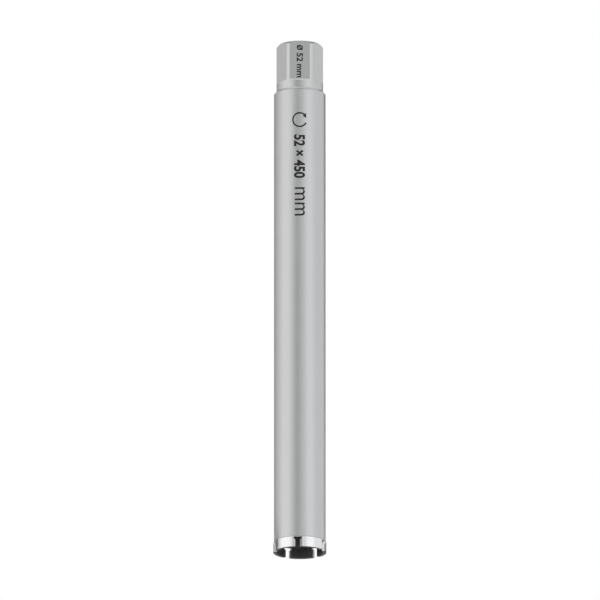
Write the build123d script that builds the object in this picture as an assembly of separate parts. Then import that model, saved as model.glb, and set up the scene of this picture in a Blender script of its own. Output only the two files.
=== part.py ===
from build123d import *
import os

# Wet diamond core bit, 52 mm: a steel tube with a threaded connector welded into
# its upper end and a ring of sintered diamond segments on its lower end.
# Millimetres, +Z up the tube's axis, the origin on that axis in the plane of the
# cutting faces, on which the bit stands. The front, with the marked flat, is -Y.

# Crown
crown_diameter = 52.0
segment_count = 5
# The segments stand this far proud of the tube's wall on either side.
outer_clearance = 0.75
inner_clearance = 0.75
segment_height = 10.0
slot_width = 5.0
slot_flare_width = 12.2
slot_flare_depth = 1.1
slot_head_width = 7.9
slot_head_height = 2.5
# The front slot stands this far round to the left of the marked flat.
crown_turn = 5.0

# Tube
tube_wall = 2.0
tube_top_chamfer_width = 1.05
tube_top_chamfer_height = 0.55
tube_bore_chamfer = 0.5

# Connector, from the spigot inside the tube up to the seat for the spindle
working_depth = 450.0
spigot_length = 12.4
spigot_clearance = 0.05
spigot_lead_in = 1.0
collar_height = 2.3
neck_diameter = 45.5
neck_length = 8.7
wrench_size = 41.0
flat_count = 6
flats_length = 38.6
# The lower end of a flat slopes out to the neck's skin over this height.
flat_run_out = 1.5
seat_diameter = 40.0

# Thread for the spindle, 1 1/4 inch with 7 turns to the inch, at its minor diameter
thread_minor_diameter = 28.0
thread_mouth_diameter = 33.0
thread_length = 33.0
relief_diameter = 32.5
relief_length = 6.0
water_passage_diameter = 24.0

# Radii and levels that follow from the sizes above
crown_radius = crown_diameter / 2
tube_radius = crown_radius - outer_clearance
tube_bore_radius = tube_radius - tube_wall
core_radius = tube_bore_radius - inner_clearance
tube_top = working_depth + spigot_length
collar_radius = tube_radius - tube_top_chamfer_width
neck_radius = neck_diameter / 2
neck_start = tube_top + collar_height
flats_start = neck_start + neck_length
connector_top = flats_start + flats_length
flat_offset = wrench_size / 2
seat_radius = seat_diameter / 2
head_chamfer = neck_radius - seat_radius
slot_pitch = 360 / segment_count
beyond = crown_diameter


def turned(*points):
    """A ring or a bar on the Z axis, from its section's points as radius and height."""
    section = make_face(Plane.XZ * Polyline(*points, close=True))
    return revolve(section, Axis.Z)


def make_tube():
    """The drawn tube, from the segments up to the connector's collar."""
    return turned(
        (tube_bore_radius, segment_height),
        (tube_radius, segment_height),
        (tube_radius, tube_top - tube_top_chamfer_height),
        (collar_radius, tube_top),
        (tube_bore_radius + tube_bore_chamfer, tube_top),
        (tube_bore_radius, tube_top - tube_bore_chamfer),
    )


def make_flat_cutter():
    """What a cutter takes off one side of the head, with its sloping run-out below."""
    slope = flat_run_out / (neck_radius - flat_offset)
    section = Plane.XZ * Polyline(
        (flat_offset, flats_start),
        (flat_offset, connector_top + beyond),
        (beyond, connector_top + beyond),
        (beyond, flats_start - slope * (beyond - flat_offset)),
        close=True,
    )
    return extrude(make_face(section), beyond, both=True)


def make_connector():
    """The turned hub: spigot, collar, round neck and a head with six flats."""
    spigot_radius = tube_bore_radius - spigot_clearance
    mouth_radius = thread_mouth_diameter / 2
    minor_radius = thread_minor_diameter / 2
    relief_radius = relief_diameter / 2
    passage_radius = water_passage_diameter / 2
    thread_top = connector_top - (mouth_radius - minor_radius)
    relief_top = thread_top - thread_length - (relief_radius - minor_radius)
    relief_bottom = relief_top - relief_length
    hub = turned(
        (passage_radius, working_depth),
        (spigot_radius - spigot_lead_in, working_depth),
        (spigot_radius, working_depth + spigot_lead_in),
        (spigot_radius, tube_top),
        (collar_radius, tube_top),
        (neck_radius, neck_start),
        (neck_radius, connector_top - head_chamfer),
        (seat_radius, connector_top),
        (mouth_radius, connector_top),
        (minor_radius, thread_top),
        (minor_radius, thread_top - thread_length),
        (relief_radius, relief_top),
        (relief_radius, relief_bottom),
        (passage_radius, relief_bottom - (relief_radius - passage_radius)),
    )
    # The first flat is the marked one, at the front.
    for index in range(flat_count):
        hub -= Rot(0, 0, index * 360 / flat_count - 90) * make_flat_cutter()
    return hub


def make_slot():
    """The water slot between two segments, cut through the wall along +X: flared at
    its mouth, and widened to a T under the tube."""
    half_width = slot_width / 2
    half_flare = slot_flare_width / 2
    flare_start = crown_radius - slot_flare_depth
    outline = Polyline(
        (0, -half_width),
        (flare_start, -half_width),
        (crown_radius, -half_flare),
        (beyond, -half_flare),
        (beyond, half_flare),
        (crown_radius, half_flare),
        (flare_start, half_width),
        (0, half_width),
        close=True,
    )
    slot = extrude(make_face(outline), segment_height)
    head = Box(beyond, slot_head_width, 2 * slot_head_height)
    return slot + Pos(beyond / 2, 0, segment_height) * head


def make_segment():
    """One segment, from the slot on +X round to the next."""
    section = Plane.XZ * Polyline(
        (core_radius, 0),
        (crown_radius, 0),
        (crown_radius, segment_height),
        (core_radius, segment_height),
        close=True,
    )
    segment = revolve(make_face(section), Axis.Z, slot_pitch)
    slot = make_slot()
    return segment - slot - Rot(0, 0, slot_pitch) * slot


def main():
    os.makedirs("parts", exist_ok=True)
    export_step(make_tube(), "parts/tube.step")
    export_step(make_connector(), "parts/connector.step")
    segment = make_segment()
    for index in range(segment_count):
        turn = index * slot_pitch - 90 - crown_turn
        export_step(Rot(0, 0, turn) * segment, f"parts/segment_{index + 1}.step")


main()
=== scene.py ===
"""Looks of the diamond core bit: satin steel tube and connector, ground segments, printed marks, studio."""

import math

import bmesh
import bpy
from mathutils import Matrix, Vector


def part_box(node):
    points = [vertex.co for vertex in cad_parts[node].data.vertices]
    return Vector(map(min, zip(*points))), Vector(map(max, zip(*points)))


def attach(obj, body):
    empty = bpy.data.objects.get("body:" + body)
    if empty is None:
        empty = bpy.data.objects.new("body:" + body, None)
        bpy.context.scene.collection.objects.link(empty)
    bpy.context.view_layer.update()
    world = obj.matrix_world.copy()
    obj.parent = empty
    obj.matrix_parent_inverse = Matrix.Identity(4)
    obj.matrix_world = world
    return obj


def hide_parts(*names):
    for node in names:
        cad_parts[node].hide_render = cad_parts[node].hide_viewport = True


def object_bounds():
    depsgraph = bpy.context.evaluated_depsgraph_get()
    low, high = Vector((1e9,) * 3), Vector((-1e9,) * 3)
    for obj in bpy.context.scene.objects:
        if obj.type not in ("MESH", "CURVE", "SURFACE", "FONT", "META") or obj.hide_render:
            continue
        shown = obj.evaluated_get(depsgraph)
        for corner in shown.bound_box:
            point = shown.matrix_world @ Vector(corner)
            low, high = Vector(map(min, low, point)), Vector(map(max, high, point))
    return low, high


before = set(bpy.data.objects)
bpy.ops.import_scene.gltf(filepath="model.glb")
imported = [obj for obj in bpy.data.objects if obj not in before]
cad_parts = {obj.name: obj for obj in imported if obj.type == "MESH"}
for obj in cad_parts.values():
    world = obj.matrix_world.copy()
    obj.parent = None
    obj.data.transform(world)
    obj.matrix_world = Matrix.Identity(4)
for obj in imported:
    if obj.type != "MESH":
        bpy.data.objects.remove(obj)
cad_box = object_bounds()

MM = 0.001
BODY = "root"

# Places read from the frame
tube_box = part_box("tube")
connector_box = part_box("connector")
TUBE_RADIUS = tube_box[1].x
TUBE_BOTTOM = tube_box[0].z
TUBE_TOP = tube_box[1].z
SPIGOT_BOTTOM = connector_box[0].z
CONNECTOR_TOP = connector_box[1].z
CROWN_RADIUS = cad_box[1].x
CROWN_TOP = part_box("segment_1")[1].z

# Tube
TUBE_WALL = 2.0 * MM
TUBE_TOP_CHAMFER_WIDTH = 1.05 * MM
TUBE_TOP_CHAMFER_HEIGHT = 0.55 * MM
TUBE_EDGE_BREAK = 0.15 * MM
# How far the facets at both ends of the upper chamfer reach onto it
TUBE_FACET_WIDTH = 0.6 * TUBE_EDGE_BREAK
TUBE_FACET_HEIGHT = 0.3 * TUBE_EDGE_BREAK
TUBE_BORE_RADIUS = TUBE_RADIUS - TUBE_WALL

# Connector
SPIGOT_CLEARANCE = 0.05 * MM
SPIGOT_RADIUS = TUBE_BORE_RADIUS - SPIGOT_CLEARANCE
SPIGOT_LEAD_IN = 1.0 * MM
COLLAR_RADIUS = TUBE_RADIUS - TUBE_TOP_CHAMFER_WIDTH
COLLAR_HEIGHT = 2.3 * MM
SEAM_DEPTH = 0.18 * MM
SEAM_HEIGHT = 0.3 * MM
NECK_RADIUS = 22.75 * MM
NECK_START = TUBE_TOP + COLLAR_HEIGHT
NECK_LENGTH = 8.7 * MM
WRENCH_RADIUS = 20.5 * MM
FLAT_COUNT = 6
FLAT_RUN_OUT = 1.5 * MM
SEAT_RADIUS = 20.0 * MM
FLATS_START = NECK_START + NECK_LENGTH
HEAD_EDGE_BREAK = 0.15 * MM
PASSAGE_RADIUS = 12.0 * MM
RELIEF_RADIUS = 16.25 * MM
RELIEF_LENGTH = 6.0 * MM

# Thread for the spindle, 1 1/4 inch with 7 turns to the inch
THREAD_PITCH = 25.4 * MM / 7
THREAD_MINOR_RADIUS = 14.0 * MM
THREAD_MAJOR_RADIUS = 15.875 * MM
THREAD_MOUTH_RADIUS = 16.5 * MM
THREAD_LENGTH = 33.0 * MM
# Crest and root as shares of a pitch, which leaves about 60 degrees between two flanks
THREAD_CREST_SHARE = 0.25
THREAD_ROOT_SHARE = 0.125

# Crown
SEGMENT_COUNT = 5
INNER_CLEARANCE = 0.75 * MM
CORE_RADIUS = TUBE_BORE_RADIUS - INNER_CLEARANCE
SLOT_WIDTH = 5.0 * MM
SLOT_FLARE_WIDTH = 12.2 * MM
SLOT_FLARE_DEPTH = 1.1 * MM
SLOT_HEAD_WIDTH = 7.9 * MM
SLOT_HEAD_HEIGHT = 2.5 * MM
CROWN_TURN = 5.0
SEGMENT_EDGE_BREAK = 0.07 * MM

# Finishes. A scale counts the texture's cells to the metre, and a depth is the bump's height.
GRAIN_SCALE = 2600.0
GRIT_SCALE = 1500.0
INK_SCALE = 1800.0
BRUSHED_DEPTH = 0.01 * MM
GRIT_DEPTH = 0.05 * MM
INK_DEPTH = 0.005 * MM
# The finish of the bore reaches this far past its skin, and the painted shade line above the segments this
# far up the tube
BORE_MARGIN = 0.1 * MM
JOINT_SHADE_HEIGHT = 1.2 * MM
# A run-out faces up more than this, and the collar's cone less
RUN_OUT_FACING = 0.77

# Marks printed on the front, reading down the tube. A weight thickens the letters' strokes.
PRINT_LIFT = 0.02 * MM
STRIP_WIDTH = 0.5 * MM
BOLD_TOP = 416.0 * MM
BOLD_BOTTOM = 371.9 * MM
BOLD_HEIGHT = 10.4 * MM
BOLD_WEIGHT = 0.034
THIN_TOP = 362.6 * MM
THIN_BOTTOM = 333.9 * MM
THIN_HEIGHT = 10.0 * MM
THIN_WEIGHT = 0.0
DIAMETER_TOP = 499.5 * MM
DIAMETER_BOTTOM = 490.7 * MM
DIAMETER_HEIGHT = 6.0 * MM
DIAMETER_CENTRE = 0.15 * MM
UNIT_TOP = 488.2 * MM
UNIT_BOTTOM = 474.7 * MM
UNIT_HEIGHT = 4.1 * MM
UNIT_CENTRE = -0.7 * MM
FLAT_WEIGHT = 0.03

# Ring for the direction of rotation. Its angles are in degrees, anticlockwise from the right.
RING_LEVEL = 430.9 * MM
RING_DIAMETER = 15.2 * MM
RING_STROKE = 1.5 * MM
RING_START = 50.0
RING_SWEEP = 285.0
RING_STEPS = 96
ARROW_SWEEP = 34.0
ARROW_REACH = 2.3 * MM

# Diameter sign on the flat. Its bar reaches a little past its ring.
SIGN_LEVEL = 504.9 * MM
SIGN_HALF_WIDTH = 2.95 * MM
SIGN_HALF_LENGTH = 2.65 * MM
SIGN_STROKE = 1.4 * MM
SIGN_STEPS = 64
BAR_REACH = 1.05
BAR_HALF_WIDTH = 0.45 * SIGN_STROKE

# Camera, square to a flat and a little below the horizon
CAMERA_TILT = -14.4
CAMERA_DISTANCE = 1.5
CAMERA_CLIP_END = 20.0
PICTURE_HEIGHT = 0.587
AIM = Vector((0.0002, 0, 0.2551))

# The tent that the metal mirrors. A reach is the cards' distance from the bit in metres with
# their lowest and highest rise in degrees. A card has its heading round from the front,
# positive to the right, its half width, both in degrees, and its tint.
TENT_REACH = (1.8, -60.0, 89.0)
TENT_CARDS = (
    ("front_card", -12, 13, (0.42, 0.432, 0.425)),
    ("front_left_card", -33, 8, (0.74, 0.75, 0.745)),
    ("front_right_card", 13, 12, (0.68, 0.695, 0.70)),
    ("right_glow", 45, 20, (0.98, 0.99, 1.0)),
    ("right_card", 104.5, 39.5, (0.77, 0.78, 0.79)),
    ("back_right_card", 153, 9, (0.05, 0.05, 0.05)),
    ("back_card", 191, 29, (0.34, 0.34, 0.34)),
    ("back_left_card", -129, 11, (0.58, 0.58, 0.58)),
    ("left_card", -106, 12, (0.76, 0.76, 0.76)),
)
# Small cards close to the bit, placed for the crown
CROWN_REACH = (0.16, 11.5, 18.0)
CROWN_CARDS = (
    ("crown_flag", -111.5, 10.5, (0.08, 0.08, 0.08)),
    ("crown_left_shade", -92, 9, (0.82, 0.82, 0.82)),
    ("crown_front_shade", 25, 5, (0.80, 0.80, 0.80)),
)
CARD_STEPS = 12

# Lamps, each with its place, size and power
LAMPS = (
    ("key_lamp", (-0.9, -0.9, 1.6), 0.8, 20.0),
    ("front_lamp", (0.3, -1.7, 0.35), 0.6, 20.0),
)
# The world's strength as a light, and then where it is seen or mirrored
SOFT_LEVEL = 0.4
WHITE_LEVEL = 1.0
# The floor lies a little under the cutting faces
FLOOR_HALF_SIZE = 4.0
FLOOR_DROP = 0.3 * MM

# Fineness of the meshes
TURN_STEPS = 240
SEGMENT_STEPS = 96
LETTER_STEPS = 6
WELD_DISTANCE = 0.002 * MM
SHARP_ANGLE = 28.0
HUB_SHARP_ANGLE = 10.0
HARD_EDGE_ANGLE = 15.0


# Shader maths


class Value:
    """A number at a node's socket, with Python's operators for the maths on it."""

    def __init__(self, finish, socket):
        self.finish = finish
        self.socket = socket

    def maths(self, operation, *terms):
        made = self.finish.node("ShaderNodeMath", {"operation": operation}, dict(enumerate(terms)))
        return self.finish.value(made, 0)

    def __add__(self, other):
        return self.maths("ADD", self, other)

    def __radd__(self, other):
        return self.maths("ADD", other, self)

    def __sub__(self, other):
        return self.maths("SUBTRACT", self, other)

    def __rsub__(self, other):
        return self.maths("SUBTRACT", other, self)

    def __mul__(self, other):
        return self.maths("MULTIPLY", self, other)

    def __rmul__(self, other):
        return self.maths("MULTIPLY", other, self)

    def __gt__(self, other):
        return self.maths("GREATER_THAN", self, other)

    def __lt__(self, other):
        return self.maths("LESS_THAN", self, other)

    def ramp(self, low, high):
        """0 below low, 1 above high and a soft step between them."""
        settings = {"interpolation_type": "SMOOTHSTEP"}
        made = self.finish.node("ShaderNodeMapRange", settings, {0: self, 1: low, 2: high, 3: 0.0, 4: 1.0})
        return self.finish.value(made, 0)

    def swing(self, width):
        """A texture's swing round its middle, that wide from its lowest to its highest."""
        return (self - 0.5) * width


class Finish:
    """The node tree of one material, or of the world."""

    def __init__(self, name, owner=None):
        self.owner = owner or bpy.data.materials.new(name)
        self.owner.use_nodes = True
        self.tree = self.owner.node_tree
        self.tree.nodes.clear()

    def node(self, kind, settings=None, inputs=None):
        """A node of that kind, with its settings first and then its sockets' values or links."""
        made = self.tree.nodes.new(kind)
        for name, setting in (settings or {}).items():
            setattr(made, name, setting)
        for name, given in (inputs or {}).items():
            socket = made.inputs[name]
            if isinstance(given, Value):
                self.tree.links.new(given.socket, socket)
            elif isinstance(given, bpy.types.NodeSocket):
                self.tree.links.new(given, socket)
            else:
                socket.default_value = given
        return made

    def value(self, node, output):
        return Value(self, node.outputs[output])

    def vectors(self, operation, *terms):
        """A Vector Math node on vectors or their sockets."""
        return self.node("ShaderNodeVectorMath", {"operation": operation}, dict(enumerate(terms)))

    def mixed(self, share, first, second):
        """A colour between two colours."""
        settings = {"data_type": "RGBA"}
        return self.node("ShaderNodeMix", settings, {0: share, 6: first, 7: second}).outputs[2]

    def noise(self, vector, scale, detail=3.0, roughness=0.55):
        inputs = {"Vector": vector, "Scale": scale, "Detail": detail, "Roughness": roughness}
        return self.value(self.node("ShaderNodeTexNoise", {}, inputs), "Fac")

    def place(self):
        """The point's place in the row frame, in metres."""
        return self.node("ShaderNodeTexCoord").outputs["Object"]

    def normal(self):
        """The direction that the surface faces."""
        return self.node("ShaderNodeNewGeometry").outputs["True Normal"]

    def stretched(self, scale):
        """The point's place, multiplied along each axis, for a texture with a direction."""
        return self.vectors("MULTIPLY", self.place(), scale).outputs[0]

    def spoke(self):
        """The level vector from the axis to the point."""
        return self.stretched((1.0, 1.0, 0.0))

    def upright(self, vector):
        """The part of a vector along the axis."""
        return self.value(self.node("ShaderNodeSeparateXYZ", {}, {0: vector}), "Z")

    def level(self):
        """The height above the plane of the cutting faces, in metres."""
        return self.upright(self.place())

    def radius(self):
        """The distance from the tube's axis, in metres."""
        return self.value(self.vectors("LENGTH", self.spoke()), "Value")

    def upward(self):
        """How far the surface faces up: 1 on a level top, 0 on an upright wall."""
        return self.upright(self.normal())

    def outward(self):
        """How far the surface faces away from the axis: 1 on the skin, 0 on a side, -1 inside."""
        spoke = self.vectors("NORMALIZE", self.spoke()).outputs[0]
        return self.value(self.vectors("DOT_PRODUCT", self.normal(), spoke), "Value")

    def ahead(self):
        """Above 0 where the surface faces anticlockwise round the axis, seen from above."""
        along = self.vectors("CROSS_PRODUCT", (0.0, 0.0, 1.0), self.spoke()).outputs[0]
        return self.value(self.vectors("DOT_PRODUCT", self.normal(), along), "Value")

    def bump(self, height, depth, strength):
        inputs = {"Height": height, "Distance": depth, "Strength": strength}
        return self.node("ShaderNodeBump", {}, inputs).outputs[0]

    def surface(self, shader):
        """Ends the tree in that shader and hands over the material."""
        self.node("ShaderNodeOutputMaterial", {}, {"Surface": shader.outputs[0]})
        return self.owner


def grey(level):
    return (level, level, level, 1)


# Finishes


def tube_steel():
    """Fine satin steel, dull and darker in the bore, partly painted shade, and with a painted shade line
    just above the segments.
    """
    finish = Finish("tube_steel")
    # Painted shade: a darker line on the tube just above the segments, mottled by the cloud
    joint_shade_tone = (0.36, 0.35, 0.34, 1)
    # The bore's own duller steel, darkened further as painted shade of the hollow tube
    bore_tone_and_shade = (0.26, 0.258, 0.25, 1)
    cloud = finish.noise(finish.place(), 60.0)
    drawn = finish.noise(finish.stretched((900.0, 900.0, 25.0)), 1.0, 2.0)
    grain = finish.noise(finish.place(), GRAIN_SCALE, 2.0)
    inside = finish.radius() < TUBE_BORE_RADIUS + BORE_MARGIN
    # Where the painted shade line lies, from the segments' top to a little above it
    joint_shade = 1 - (finish.level() - CROWN_TOP).ramp(0.5 * JOINT_SHADE_HEIGHT, JOINT_SHADE_HEIGHT)
    colour = finish.mixed((cloud + drawn) * 0.5, grey(0.608), grey(0.672))
    colour = finish.mixed(joint_shade * (0.35 + cloud * 0.3), colour, joint_shade_tone)
    # Inside the bore: its own tone with painted shade
    colour = finish.mixed(inside, colour, bore_tone_and_shade)
    shader = finish.node("ShaderNodeBsdfPrincipled", {}, {
        "Base Color": colour,
        "Metallic": 1.0,
        "Roughness": 0.36 + cloud.swing(0.08) + grain.swing(0.06) + inside * 0.2,
        "Normal": finish.bump(drawn * 0.5 + grain * 0.5, BRUSHED_DEPTH, 0.35),
    })
    return finish.surface(shader)


def connector_steel():
    """Turned and milled steel: satin outside, darker in the bore and dull where the flats run out."""
    finish = Finish("connector_steel")
    cloud = finish.noise(finish.place(), 90.0)
    grain = finish.noise(finish.place(), GRAIN_SCALE, 2.0)
    lathe = finish.noise(finish.stretched((20.0, 20.0, GRAIN_SCALE)), 1.0, 2.0)
    bore = finish.radius() < THREAD_MOUTH_RADIUS
    run_out = (finish.upward() > RUN_OUT_FACING) * (finish.level() < FLATS_START + MM)
    colour = finish.mixed(cloud, (0.60, 0.605, 0.60, 1), (0.66, 0.665, 0.66, 1))
    colour = finish.mixed(bore, colour, grey(0.42))
    colour = finish.mixed(run_out, colour, grey(0.55))
    shader = finish.node("ShaderNodeBsdfPrincipled", {}, {
        "Base Color": colour,
        "Metallic": 1 - run_out * 0.8,
        "Roughness": 0.34 + cloud.swing(0.1) + grain.swing(0.06) + run_out * 0.2,
        "Normal": finish.bump(lathe * 0.6 + grain * 0.4, BRUSHED_DEPTH, 0.35),
    })
    return finish.surface(shader)


def segment_metal():
    """Ground metal bond with grit in it: bright on its skin, satin on one flare of a slot and
    scoured on the other, dull on the sides, mottled on the cutting face, and dark inside, its own dark tone
    with painted shade."""
    finish = Finish("segment_metal")
    grit = finish.noise(finish.place(), GRIT_SCALE, 3.0, 0.7)
    cloud = finish.noise(finish.place(), 260.0, 4.0)
    outward = finish.outward()
    skin = outward.ramp(0.95, 0.98)
    flare = outward.ramp(0.6, 0.7) * (1 - skin)
    inside = 1 - outward.ramp(-0.8, -0.5)
    side = 1 - (skin + flare + inside)
    face = 1 - finish.level().ramp(0.3 * SEGMENT_EDGE_BREAK, 0.6 * SEGMENT_EDGE_BREAK)
    pit = grit.ramp(0.62, 0.72)
    bright = finish.mixed(cloud, grey(0.88), grey(0.98))
    pitted = finish.mixed(pit * 0.5, bright, (0.45, 0.45, 0.46, 1))
    scoured = finish.mixed(cloud, grey(0.30), grey(0.37))
    satin = finish.mixed(cloud, grey(0.62), grey(0.70))
    dull = finish.mixed(grit, grey(0.80), grey(0.96))
    mottled = finish.mixed(grit.ramp(0.42, 0.6), grey(0.10), grey(0.36))
    # Inner faces: the bond's own dark tone, with painted shade of the crown's hollow in it
    dark_bond_and_shade = finish.mixed(grit, grey(0.10), (0.20, 0.198, 0.195, 1))
    colour = finish.mixed(flare, pitted, finish.mixed(finish.ahead() > 0, scoured, satin))
    colour = finish.mixed(side, colour, dull)
    colour = finish.mixed(face, colour, mottled)
    colour = finish.mixed(inside, colour, dark_bond_and_shade)
    shader = finish.node("ShaderNodeBsdfPrincipled", {}, {
        "Base Color": colour,
        "Metallic": 1 - side * (1 - face) * 0.9,
        "Roughness": 0.5 - skin * 0.32 - flare * 0.15 + pit * 0.15,
        "Normal": finish.bump(grit, GRIT_DEPTH, 0.3),
    })
    return finish.surface(shader)


def printing_ink():
    """Dull black pad-printing ink."""
    finish = Finish("printing_ink")
    thin = finish.noise(finish.place(), INK_SCALE, 3.0)
    shader = finish.node("ShaderNodeBsdfPrincipled", {}, {
        "Base Color": finish.mixed(thin, grey(0.008), grey(0.02)),
        "Roughness": 0.5 + thin.swing(0.2),
        "Specular IOR Level": 0.1,
        "Normal": finish.bump(thin, INK_DEPTH, 0.3),
    })
    return finish.surface(shader)


# Meshes


def piece(name, mesh_builder, finish, sharp_angle=SHARP_ANGLE):
    """An object of the finished mesh, shaded smooth with its hard edges kept."""
    mesh = bpy.data.meshes.new(name)
    mesh_builder.to_mesh(mesh)
    mesh_builder.free()
    mesh.shade_smooth()
    mesh.set_sharp_from_angle(angle=math.radians(sharp_angle))
    mesh.materials.append(finish)
    made = bpy.data.objects.new(name, mesh)
    bpy.context.scene.collection.objects.link(made)
    return made


def round_row(radius, level, steps=TURN_STEPS):
    turn = math.tau / steps
    return [(radius * math.cos(turn * n), radius * math.sin(turn * n), level) for n in range(steps)]


def lay_rows(builder, rows):
    """Quads between each row of points and the next. It gives back the rows' vertices."""
    laid = [[builder.verts.new(point) for point in row] for row in rows]
    for low, high in zip(laid, laid[1:]):
        for n in range(len(low) - 1):
            builder.faces.new((low[n], low[n + 1], high[n + 1], high[n]))
    return laid


def skin_rows(builder, rows, climb=0):
    """Quads between rows of points that go once round. The end of a row meets its own start,
    or on a helix the start of the row that is climb further on."""
    rings = lay_rows(builder, rows)
    for n in range(len(rings) - 1 - climb):
        low_start, high_start = rings[n + climb][0], rings[n + climb + 1][0]
        builder.faces.new((rings[n][-1], low_start, high_start, rings[n + 1][-1]))
    return rings


def welded(builder):
    """The mesh with points that meet made one, and its faces turned outwards."""
    bmesh.ops.remove_doubles(builder, verts=builder.verts, dist=WELD_DISTANCE)
    bmesh.ops.recalc_face_normals(builder, faces=builder.faces)
    return builder


def turned(section):
    """A closed turned mesh from its section's points as radius and height."""
    builder = bmesh.new()
    skin_rows(builder, [round_row(radius, level) for radius, level in [*section, section[0]]])
    return welded(builder)


def prism(outline, low, high):
    """A closed upright mesh over an outline of points in the XY plane."""
    builder = bmesh.new()
    floor = [builder.verts.new((x, y, low)) for x, y in outline]
    roof = [builder.verts.new((x, y, high)) for x, y in outline]
    builder.faces.new(floor)
    builder.faces.new(roof)
    for n in range(len(outline)):
        after = (n + 1) % len(outline)
        builder.faces.new((floor[n], floor[after], roof[after], roof[n]))
    bmesh.ops.recalc_face_normals(builder, faces=builder.faces)
    return builder


def combined(first, second, operation):
    """The mesh that a boolean operation makes of two closed meshes."""
    carriers = []
    for number, builder in enumerate((first, second)):
        mesh = bpy.data.meshes.new(f"carrier_{number}")
        builder.to_mesh(mesh)
        builder.free()
        carrier = bpy.data.objects.new(mesh.name, mesh)
        bpy.context.scene.collection.objects.link(carrier)
        carriers.append(carrier)
    cut = carriers[0].modifiers.new("cut", "BOOLEAN")
    cut.operation = operation
    cut.solver = "EXACT"
    cut.object = carriers[1]
    bpy.context.view_layer.update()
    shaped = carriers[0].evaluated_get(bpy.context.evaluated_depsgraph_get())
    result = bmesh.new()
    result.from_mesh(shaped.to_mesh())
    shaped.to_mesh_clear()
    for carrier in carriers:
        mesh = carrier.data
        bpy.data.objects.remove(carrier)
        bpy.data.meshes.remove(mesh)
    return welded(result)


def break_edges(builder, width, wanted):
    """A small bevel along the hard edges that wanted(edge) picks."""
    hard = math.radians(HARD_EDGE_ANGLE)
    edges = [
        edge for edge in builder.edges
        if len(edge.link_faces) == 2 and edge.calc_face_angle(0) > hard and wanted(edge)
    ]
    bmesh.ops.bevel(
        builder, geom=edges, offset=width, offset_type="OFFSET", segments=1, profile=0.5,
        affect="EDGES", clamp_overlap=True,
    )
    return builder


# Tube


def make_tube(finish):
    inner, outer, edge = TUBE_BORE_RADIUS, TUBE_RADIUS, TUBE_EDGE_BREAK
    chamfer_start = TUBE_TOP - TUBE_TOP_CHAMFER_HEIGHT
    section = [
        (inner, TUBE_BOTTOM),
        (outer - edge, TUBE_BOTTOM),
        (outer, TUBE_BOTTOM + edge),
        (outer, chamfer_start - edge),
        (outer - TUBE_FACET_WIDTH, chamfer_start + TUBE_FACET_HEIGHT),
        (COLLAR_RADIUS + TUBE_FACET_WIDTH, TUBE_TOP - TUBE_FACET_HEIGHT),
        (COLLAR_RADIUS - edge, TUBE_TOP),
        (inner, TUBE_TOP),
    ]
    return piece("drawn_tube", turned(section), finish)


# Connector


def thread_section():
    """One pitch of the thread, as shares of the pitch and radii from crest to crest."""
    flank = (1 - THREAD_CREST_SHARE - THREAD_ROOT_SHARE) / 2
    return [
        (0.0, THREAD_MINOR_RADIUS),
        (THREAD_CREST_SHARE, THREAD_MINOR_RADIUS),
        (THREAD_CREST_SHARE + flank, THREAD_MAJOR_RADIUS),
        (THREAD_CREST_SHARE + flank + THREAD_ROOT_SHARE, THREAD_MAJOR_RADIUS),
    ]


def thread_rows(bottom, top):
    """Rows that climb with the thread's helix. Past the relief below and the mouth above,
    they all lie on the ring where the thread ends."""
    rows = []
    turns = math.ceil((top - bottom) / THREAD_PITCH) + 1
    for turn in range(-1, turns + 1):
        for share, radius in thread_section():
            row = []
            for step in range(TURN_STEPS):
                angle = math.tau * step / TURN_STEPS
                climbed = bottom + (turn + share + step / TURN_STEPS) * THREAD_PITCH
                level = min(max(climbed, bottom), top)
                mouth = THREAD_MOUTH_RADIUS - (top - level)
                run_out = RELIEF_RADIUS - (level - bottom)
                reach = max(radius, mouth, run_out)
                row.append((reach * math.cos(angle), reach * math.sin(angle), level))
            rows.append(row)
    return rows


def turned_hub():
    """The hub before its flats are cut: turned outside, with a helical thread down its bore."""
    top = CONNECTOR_TOP
    thread_bottom = top - (THREAD_MOUTH_RADIUS - THREAD_MINOR_RADIUS) - THREAD_LENGTH
    relief_top = thread_bottom - (RELIEF_RADIUS - THREAD_MINOR_RADIUS)
    relief_bottom = relief_top - RELIEF_LENGTH
    section = [
        (THREAD_MOUTH_RADIUS, top),
        (SEAT_RADIUS, top),
        (NECK_RADIUS, top - (NECK_RADIUS - SEAT_RADIUS)),
        (NECK_RADIUS, NECK_START),
        (COLLAR_RADIUS, TUBE_TOP + SEAM_HEIGHT),
        (COLLAR_RADIUS - SEAM_DEPTH, TUBE_TOP),
        (SPIGOT_RADIUS, TUBE_TOP),
        (SPIGOT_RADIUS, SPIGOT_BOTTOM + SPIGOT_LEAD_IN),
        (SPIGOT_RADIUS - SPIGOT_LEAD_IN, SPIGOT_BOTTOM),
        (PASSAGE_RADIUS, SPIGOT_BOTTOM),
        (PASSAGE_RADIUS, relief_bottom - (RELIEF_RADIUS - PASSAGE_RADIUS)),
        (RELIEF_RADIUS, relief_bottom),
        (RELIEF_RADIUS, relief_top),
    ]
    hub = bmesh.new()
    skin_rows(hub, [round_row(radius, level) for radius, level in section])
    skin_rows(hub, thread_rows(relief_top, top), len(thread_section()))
    return welded(hub)


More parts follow.
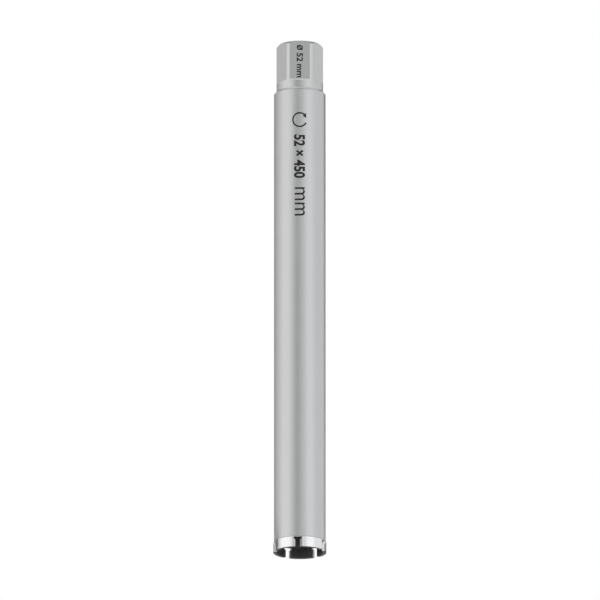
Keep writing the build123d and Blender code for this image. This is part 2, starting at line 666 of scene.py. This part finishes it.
def space_in_flats():
    """The space that the six flats leave, which widens below where they run out into the neck."""
    widest = 1.5 * NECK_RADIUS
    run_out = FLAT_RUN_OUT / (NECK_RADIUS - WRENCH_RADIUS) * (widest - WRENCH_RADIUS)
    levels = [
        (widest, SPIGOT_BOTTOM - MM),
        (widest, FLATS_START - run_out),
        (WRENCH_RADIUS, FLATS_START),
        (WRENCH_RADIUS, CONNECTOR_TOP + MM),
    ]
    middle_to_corner = math.cos(math.pi / FLAT_COUNT)
    space = bmesh.new()
    rings = skin_rows(space, [
        round_row(middle / middle_to_corner, level, FLAT_COUNT) for middle, level in levels
    ])
    space.faces.new(rings[0])
    space.faces.new(rings[-1])
    bmesh.ops.recalc_face_normals(space, faces=space.faces)
    return space


def on_head(edge):
    """Whether an edge lies on the neck's or the head's outside."""
    margin = 0.05 * MM
    return all(vert.co.xy.length > SEAT_RADIUS - margin and vert.co.z > NECK_START for vert in edge.verts)


def make_connector(finish):
    """The hub with its six flats, and its outer edges broken."""
    shaped = combined(turned_hub(), space_in_flats(), "INTERSECT")
    return piece("hub", break_edges(shaped, HEAD_EDGE_BREAK, on_head), finish, HUB_SHARP_ANGLE)


# Crown


def slot_cutters():
    """The water slot along +X, flared at its mouth, and its wider head under the tube."""
    half = SLOT_WIDTH / 2
    flare = SLOT_FLARE_WIDTH / 2
    head = SLOT_HEAD_WIDTH / 2
    start = CROWN_RADIUS - SLOT_FLARE_DEPTH
    far = 2 * CROWN_RADIUS
    slot_outline = [
        (0, -half), (start, -half), (CROWN_RADIUS, -flare), (far, -flare),
        (far, flare), (CROWN_RADIUS, flare), (start, half), (0, half),
    ]
    head_outline = [(0, -head), (far, -head), (far, head), (0, head)]
    return (
        prism(slot_outline, -MM, CROWN_TOP + MM),
        prism(head_outline, CROWN_TOP - SLOT_HEAD_HEIGHT, CROWN_TOP + 2 * MM),
    )


def make_segment(number, finish):
    """One segment, from the slot at its start round to the next."""
    pitch = math.tau / SEGMENT_COUNT
    turns = [pitch * n / SEGMENT_STEPS for n in range(SEGMENT_STEPS + 1)]
    arc = [Matrix.Rotation(turn, 2) @ Vector((1, 0)) for turn in turns]
    outer = [CROWN_RADIUS * spoke for spoke in arc]
    inner = [CORE_RADIUS * spoke for spoke in reversed(arc)]
    solid = prism(outer + inner, 0, CROWN_TOP)
    for end in (0, pitch):
        for cutter in slot_cutters():
            bmesh.ops.transform(cutter, matrix=Matrix.Rotation(end, 4, "Z"), verts=cutter.verts)
            solid = combined(solid, cutter, "DIFFERENCE")
    break_edges(solid, SEGMENT_EDGE_BREAK, lambda edge: True)
    whole_turn = math.radians(-90 - CROWN_TURN) + number * pitch
    bmesh.ops.transform(solid, matrix=Matrix.Rotation(whole_turn, 4, "Z"), verts=solid.verts)
    return piece(f"ground_segment_{number + 1}", solid, finish)


# Printed marks


def lettering(words, weight):
    """A flat mesh of words, from x = 0 along +X, with their feet on y = 0."""
    curve = bpy.data.curves.new("words", "FONT")
    curve.body = words
    curve.offset = weight
    curve.resolution_u = LETTER_STEPS
    holder = bpy.data.objects.new("words", curve)
    bpy.context.scene.collection.objects.link(holder)
    bpy.context.view_layer.update()
    builder = bmesh.new()
    builder.from_mesh(holder.evaluated_get(bpy.context.evaluated_depsgraph_get()).to_mesh())
    bpy.data.objects.remove(holder)
    bpy.data.curves.remove(curve)
    low_x = min(vert.co.x for vert in builder.verts)
    for vert in builder.verts:
        vert.co.x -= low_x
    return builder


def run_down(builder, top, bottom, cap_height, centre=0.0):
    """Scales words to run from top down to bottom, turned a quarter so that they read downwards."""
    length = max(vert.co.x for vert in builder.verts)
    height = max(vert.co.y for vert in builder.verts)
    along = (top - bottom) / length
    across = cap_height / height
    for vert in builder.verts:
        x, y = vert.co.x, vert.co.y
        vert.co = Vector((centre + (y - height / 2) * across, 0, top - x * along))
    return builder


def slice_fine(builder):
    """Cuts a flat mark into narrow upright strips, so that it can follow the tube's curve."""
    low = min(vert.co.x for vert in builder.verts)
    high = max(vert.co.x for vert in builder.verts)
    for n in range(1, int((high - low) / STRIP_WIDTH) + 1):
        geometry = builder.verts[:] + builder.edges[:] + builder.faces[:]
        place = (low + n * STRIP_WIDTH, 0, 0)
        bmesh.ops.bisect_plane(builder, geom=geometry, plane_co=place, plane_no=(1, 0, 0))
    return builder


def wrap(builder, radius):
    """Lays a flat mark from the plane y = 0 round the front of a cylinder."""
    for vert in builder.verts:
        angle = vert.co.x / radius
        vert.co = Vector((radius * math.sin(angle), -radius * math.cos(angle), vert.co.z))
    return builder


def oval_point(level, half_width, half_height, angle):
    """A point of an oval in the plane y = 0, with its middle at that level."""
    return (half_width * math.cos(angle), 0, level + half_height * math.sin(angle))


def rotation_ring():
    """An open ring with an arrowhead, the sign for the direction of rotation."""
    outer = RING_DIAMETER / 2
    inner = outer - RING_STROKE
    middle = (inner + outer) / 2
    start = math.radians(RING_START)
    sweep = math.radians(RING_SWEEP)
    tip = start - math.radians(ARROW_SWEEP)
    angles = [start + sweep * n / RING_STEPS for n in range(RING_STEPS + 1)]
    builder = bmesh.new()
    lay_rows(builder, [
        [oval_point(RING_LEVEL, radius, radius, angle) for radius in (inner, outer)]
        for angle in angles
    ])
    corners = [(start, middle - ARROW_REACH), (start, middle + ARROW_REACH), (tip, middle)]
    builder.faces.new([
        builder.verts.new(oval_point(RING_LEVEL, radius, radius, angle)) for angle, radius in corners
    ])
    return builder


def diameter_sign():
    """A ring with a bar across it, turned a quarter like the words below it."""
    angles = [math.tau * n / SIGN_STEPS for n in range(SIGN_STEPS)]
    builder = bmesh.new()
    skin_rows(builder, [
        [
            oval_point(SIGN_LEVEL, SIGN_HALF_WIDTH - inset, SIGN_HALF_LENGTH - inset, angle)
            for angle in angles
        ]
        for inset in (0, SIGN_STROKE)
    ])
    across = SIGN_HALF_WIDTH * BAR_REACH
    down = SIGN_HALF_LENGTH * BAR_REACH
    half = BAR_HALF_WIDTH
    corners = [
        (-across, down - half), (-across + half, down),
        (across, half - down), (across - half, -down),
    ]
    builder.faces.new([builder.verts.new((x, 0, SIGN_LEVEL + z)) for x, z in corners])
    return builder


def make_marks(ink):
    """The marks wrapped round the tube and those that lie on the front flat."""
    bold = run_down(lettering("52 × 450", BOLD_WEIGHT), BOLD_TOP, BOLD_BOTTOM, BOLD_HEIGHT)
    thin = run_down(lettering("mm", THIN_WEIGHT), THIN_TOP, THIN_BOTTOM, THIN_HEIGHT)
    number = lettering("52", FLAT_WEIGHT)
    run_down(number, DIAMETER_TOP, DIAMETER_BOTTOM, DIAMETER_HEIGHT, DIAMETER_CENTRE)
    unit = lettering("mm", FLAT_WEIGHT)
    run_down(unit, UNIT_TOP, UNIT_BOTTOM, UNIT_HEIGHT, UNIT_CENTRE)
    on_tube = (("rotation_mark", rotation_ring()), ("size_print", bold), ("unit_print", thin))
    on_flat = (("diameter_sign", diameter_sign()), ("diameter_print", number), ("diameter_unit", unit))
    marks = []
    for name, flat in on_tube:
        marks.append(piece(name, wrap(slice_fine(flat), TUBE_RADIUS + PRINT_LIFT), ink))
    for name, flat in on_flat:
        for vert in flat.verts:
            vert.co.y = -WRENCH_RADIUS - PRINT_LIFT
        marks.append(piece(name, flat, ink))
    return marks


# Studio


def make_floor():
    """A pale floor that is seen from above only, so that the bit also shows from below it. The
    metal doesn't mirror it."""
    finish = Finish("pale_floor")
    fleck = finish.noise(finish.place(), 8.0)
    colour = finish.mixed(fleck, grey(0.80), grey(0.83))
    matte = finish.node("ShaderNodeBsdfPrincipled", {}, {"Base Color": colour, "Roughness": 0.9})
    clear = finish.node("ShaderNodeBsdfTransparent")
    behind = finish.value(finish.node("ShaderNodeNewGeometry"), "Backfacing")
    path = finish.node("ShaderNodeLightPath")
    hidden = behind.maths("MAXIMUM", behind, finish.value(path, "Is Glossy Ray"))
    mixed = finish.node("ShaderNodeMixShader", {}, {0: hidden, 1: matte.outputs[0], 2: clear.outputs[0]})
    builder = bmesh.new()
    bmesh.ops.create_grid(builder, x_segments=1, y_segments=1, size=FLOOR_HALF_SIZE)
    floor = piece("floor", builder, finish.surface(mixed))
    floor.location.z = -FLOOR_DROP


def make_card(name, heading, half_width, tint, distance, low, high):
    """A smoked gore of a tent round the bit, from low to high in degrees of rise, seen only as
    a reflection in the metal."""
    finish = Finish(name)
    smoked = finish.node("ShaderNodeBsdfTransparent", {}, {"Color": (*tint, 1)})
    rows = []
    for n in range(CARD_STEPS + 1):
        turn = math.radians(heading + half_width * (2 * n / CARD_STEPS - 1))
        row = []
        for m in range(CARD_STEPS + 1):
            rise = math.radians(low + (high - low) * m / CARD_STEPS)
            flat = distance * math.cos(rise)
            row.append((flat * math.sin(turn), -flat * math.cos(turn), distance * math.sin(rise)))
        rows.append(row)
    builder = bmesh.new()
    lay_rows(builder, rows)
    card = piece(name, builder, finish.surface(smoked))
    card.visible_camera = False
    card.visible_diffuse = False
    card.visible_shadow = False


def make_lamp(name, place, size, power):
    """A soft square lamp that shines at the middle of the bit."""
    light = bpy.data.lights.new(name, "AREA")
    light.size = size
    light.energy = power
    lamp = bpy.data.objects.new(name, light)
    lamp.location = place
    lamp.rotation_euler = (AIM - Vector(place)).to_track_quat("-Z", "Y").to_euler()
    # The metal mirrors the tent alone, so that its shading is even down the tube.
    lamp.visible_glossy = False
    bpy.context.scene.collection.objects.link(lamp)


def light_studio():
    """A world that is white where it is seen or mirrored and soft as a light, the tent and the lamps."""
    scene = bpy.context.scene
    scene.world = bpy.data.worlds.new("studio")
    air = Finish("studio", scene.world)
    path = air.node("ShaderNodeLightPath")
    seen = air.value(path, "Is Camera Ray")
    for ray in ("Is Glossy Ray", "Is Transmission Ray"):
        seen = seen.maths("MAXIMUM", seen, air.value(path, ray))
    soft = air.node("ShaderNodeBackground", {}, {"Color": grey(1), "Strength": SOFT_LEVEL})
    white = air.node("ShaderNodeBackground", {}, {"Color": grey(1), "Strength": WHITE_LEVEL})
    glow = air.node("ShaderNodeMixShader", {}, {0: seen, 1: soft.outputs[0], 2: white.outputs[0]})
    air.node("ShaderNodeOutputWorld", {}, {"Surface": glow.outputs[0]})
    for card in TENT_CARDS:
        make_card(*card, *TENT_REACH)
    for card in CROWN_CARDS:
        make_card(*card, *CROWN_REACH)
    for lamp in LAMPS:
        make_lamp(*lamp)


def place_camera():
    data = bpy.data.cameras.new("camera")
    data.type = "ORTHO"
    data.ortho_scale = PICTURE_HEIGHT
    data.clip_end = CAMERA_CLIP_END
    camera = bpy.data.objects.new("camera", data)
    tilt = math.radians(CAMERA_TILT)
    back = Vector((0, -math.cos(tilt), math.sin(tilt)))
    camera.location = AIM + CAMERA_DISTANCE * back
    camera.rotation_euler = (-back).to_track_quat("-Z", "Y").to_euler()
    bpy.context.scene.collection.objects.link(camera)
    bpy.context.scene.camera = camera


def dress_bit():
    """Puts the finished pieces in the place of the frame's nodes, and the marks on them."""
    tube = make_tube(tube_steel())
    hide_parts("tube")
    hub = make_connector(connector_steel())
    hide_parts("connector")
    pieces = [tube, hub]
    metal = segment_metal()
    for number in range(SEGMENT_COUNT):
        segment = make_segment(number, metal)
        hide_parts(f"segment_{number + 1}")
        pieces.append(segment)
    for mark in make_marks(printing_ink()):
        pieces.append(mark)
    for made in pieces:
        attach(made, BODY)


dress_bit()
make_floor()
light_studio()
place_camera()
bpy.context.scene.view_settings.view_transform = "Standard"
